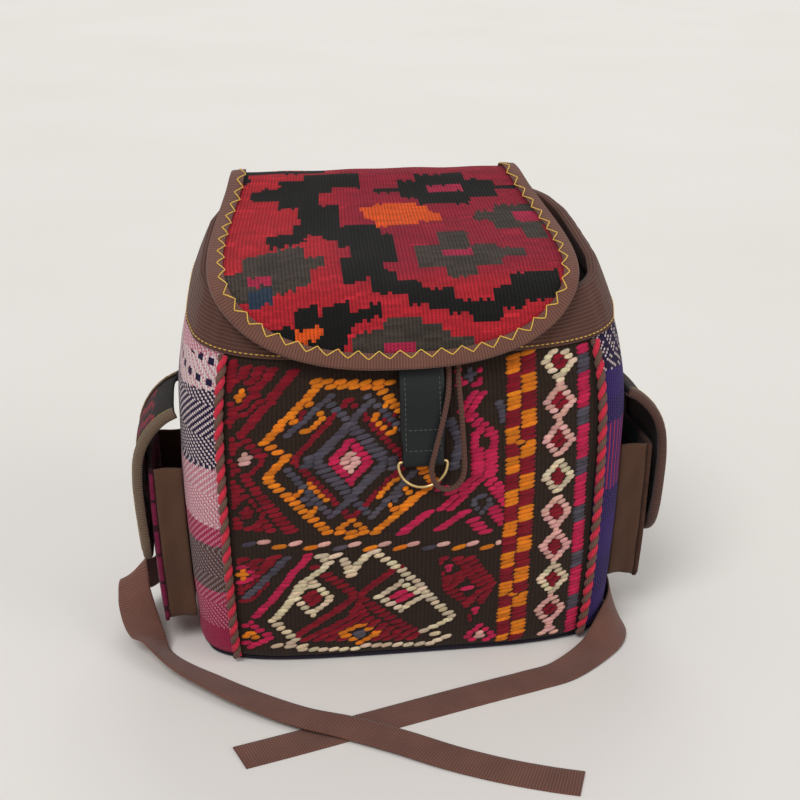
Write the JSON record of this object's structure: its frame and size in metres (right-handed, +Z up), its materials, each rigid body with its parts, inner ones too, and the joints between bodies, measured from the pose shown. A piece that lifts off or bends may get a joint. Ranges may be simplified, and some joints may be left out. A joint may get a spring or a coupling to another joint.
{
  "type": "kilim backpack",
  "caption": "Soft woven kilim backpack with a drawstring mouth, bound flap with leather tab and ring, side pockets, padded shoulder straps and loose adjusting tapes.",
  "frame": {"origin": "centre of the base panel's underside, where the bag stands on the floor", "axes": "+Z up from the base, -Y out of the front, +X towards the pocket on the viewer's right"},
  "size_m": [0.3986, 0.3692, 0.3245],
  "materials": {
    "front_kilim": "matte woven wool",
    "back_cloth": "matte woven cotton",
    "gusset_kilim": "matte woven wool",
    "inner_canvas": "matte cotton canvas",
    "base_cloth": "matte woven wool",
    "ribbed_band": "ribbed cotton",
    "red_braid": "braided wool",
    "brown_cord": "braided cotton",
    "flap_kilim": "matte slit tapestry wool",
    "black_leather": "smooth satin",
    "pale_brass": "polished",
    "snap_steel": "satin",
    "brown_webbing": "ribbed webbing",
    "pocket_kilim": "matte woven wool",
    "brown_twill": "ribbed cotton twill",
    "strap_cloth": "padded ribbed cotton",
    "black_plastic": "moulded satin"
  },
  "bodies": {
    "bag": {"front_panel": "front_kilim", "back_panel": "back_cloth", "side_panel_left": "gusset_kilim", "side_panel_right": "gusset_kilim", "lining": "inner_canvas", "base_panel": "base_cloth", "mouth_casing": "ribbed_band", "seam_braid_left": "red_braid", "seam_braid_right": "red_braid", "drawstring": "brown_cord", "flap_lining": "inner_canvas", "flap": "flap_kilim", "flap_binding": "ribbed_band", "closure_tab": "black_leather", "snap_socket": "snap_steel", "snap_stud": "snap_steel", "haul_loop": "brown_webbing", "pocket_face_left": "pocket_kilim", "pocket_gusset_left": "brown_twill", "pocket_flap_left": "flap_kilim", "pocket_flap_binding_left": "ribbed_band", "shoulder_strap_left": "strap_cloth", "buckle_loop_left": "brown_webbing", "base_anchor_left": "brown_webbing", "tape_left": "brown_webbing", "pocket_face_right": "pocket_kilim", "pocket_gusset_right": "brown_twill", "pocket_flap_right": "flap_kilim", "pocket_flap_binding_right": "ribbed_band", "shoulder_strap_right": "strap_cloth", "buckle_loop_right": "brown_webbing", "base_anchor_right": "brown_webbing", "tape_right": "brown_webbing"},
    "ring": {"d_ring": "pale_brass"},
    "slider_left": {"buckle_left": "black_plastic"},
    "slider_right": {"buckle_right": "black_plastic"}
  },
  "joints": [
    {"name": "ring_swing", "type": "hinge", "parent": "bag", "child": "ring", "pos_m": [0.004, -0.09022, 0.156], "axis": [-1, 0, 0], "range_deg": [0, 150], "deforming": ["drawstring"]},
    {"name": "slider_left_tilt", "type": "hinge", "parent": "bag", "child": "slider_left", "pos_m": [-0.09, 0.101, 0.112], "axis": [1, 0, 0], "range_deg": [0, 35], "deforming": ["tape_left"]},
    {"name": "slider_right_tilt", "type": "hinge", "parent": "bag", "child": "slider_right", "pos_m": [0.09, 0.101, 0.112], "axis": [1, 0, 0], "range_deg": [0, 35], "deforming": ["tape_right"]}
  ]
}
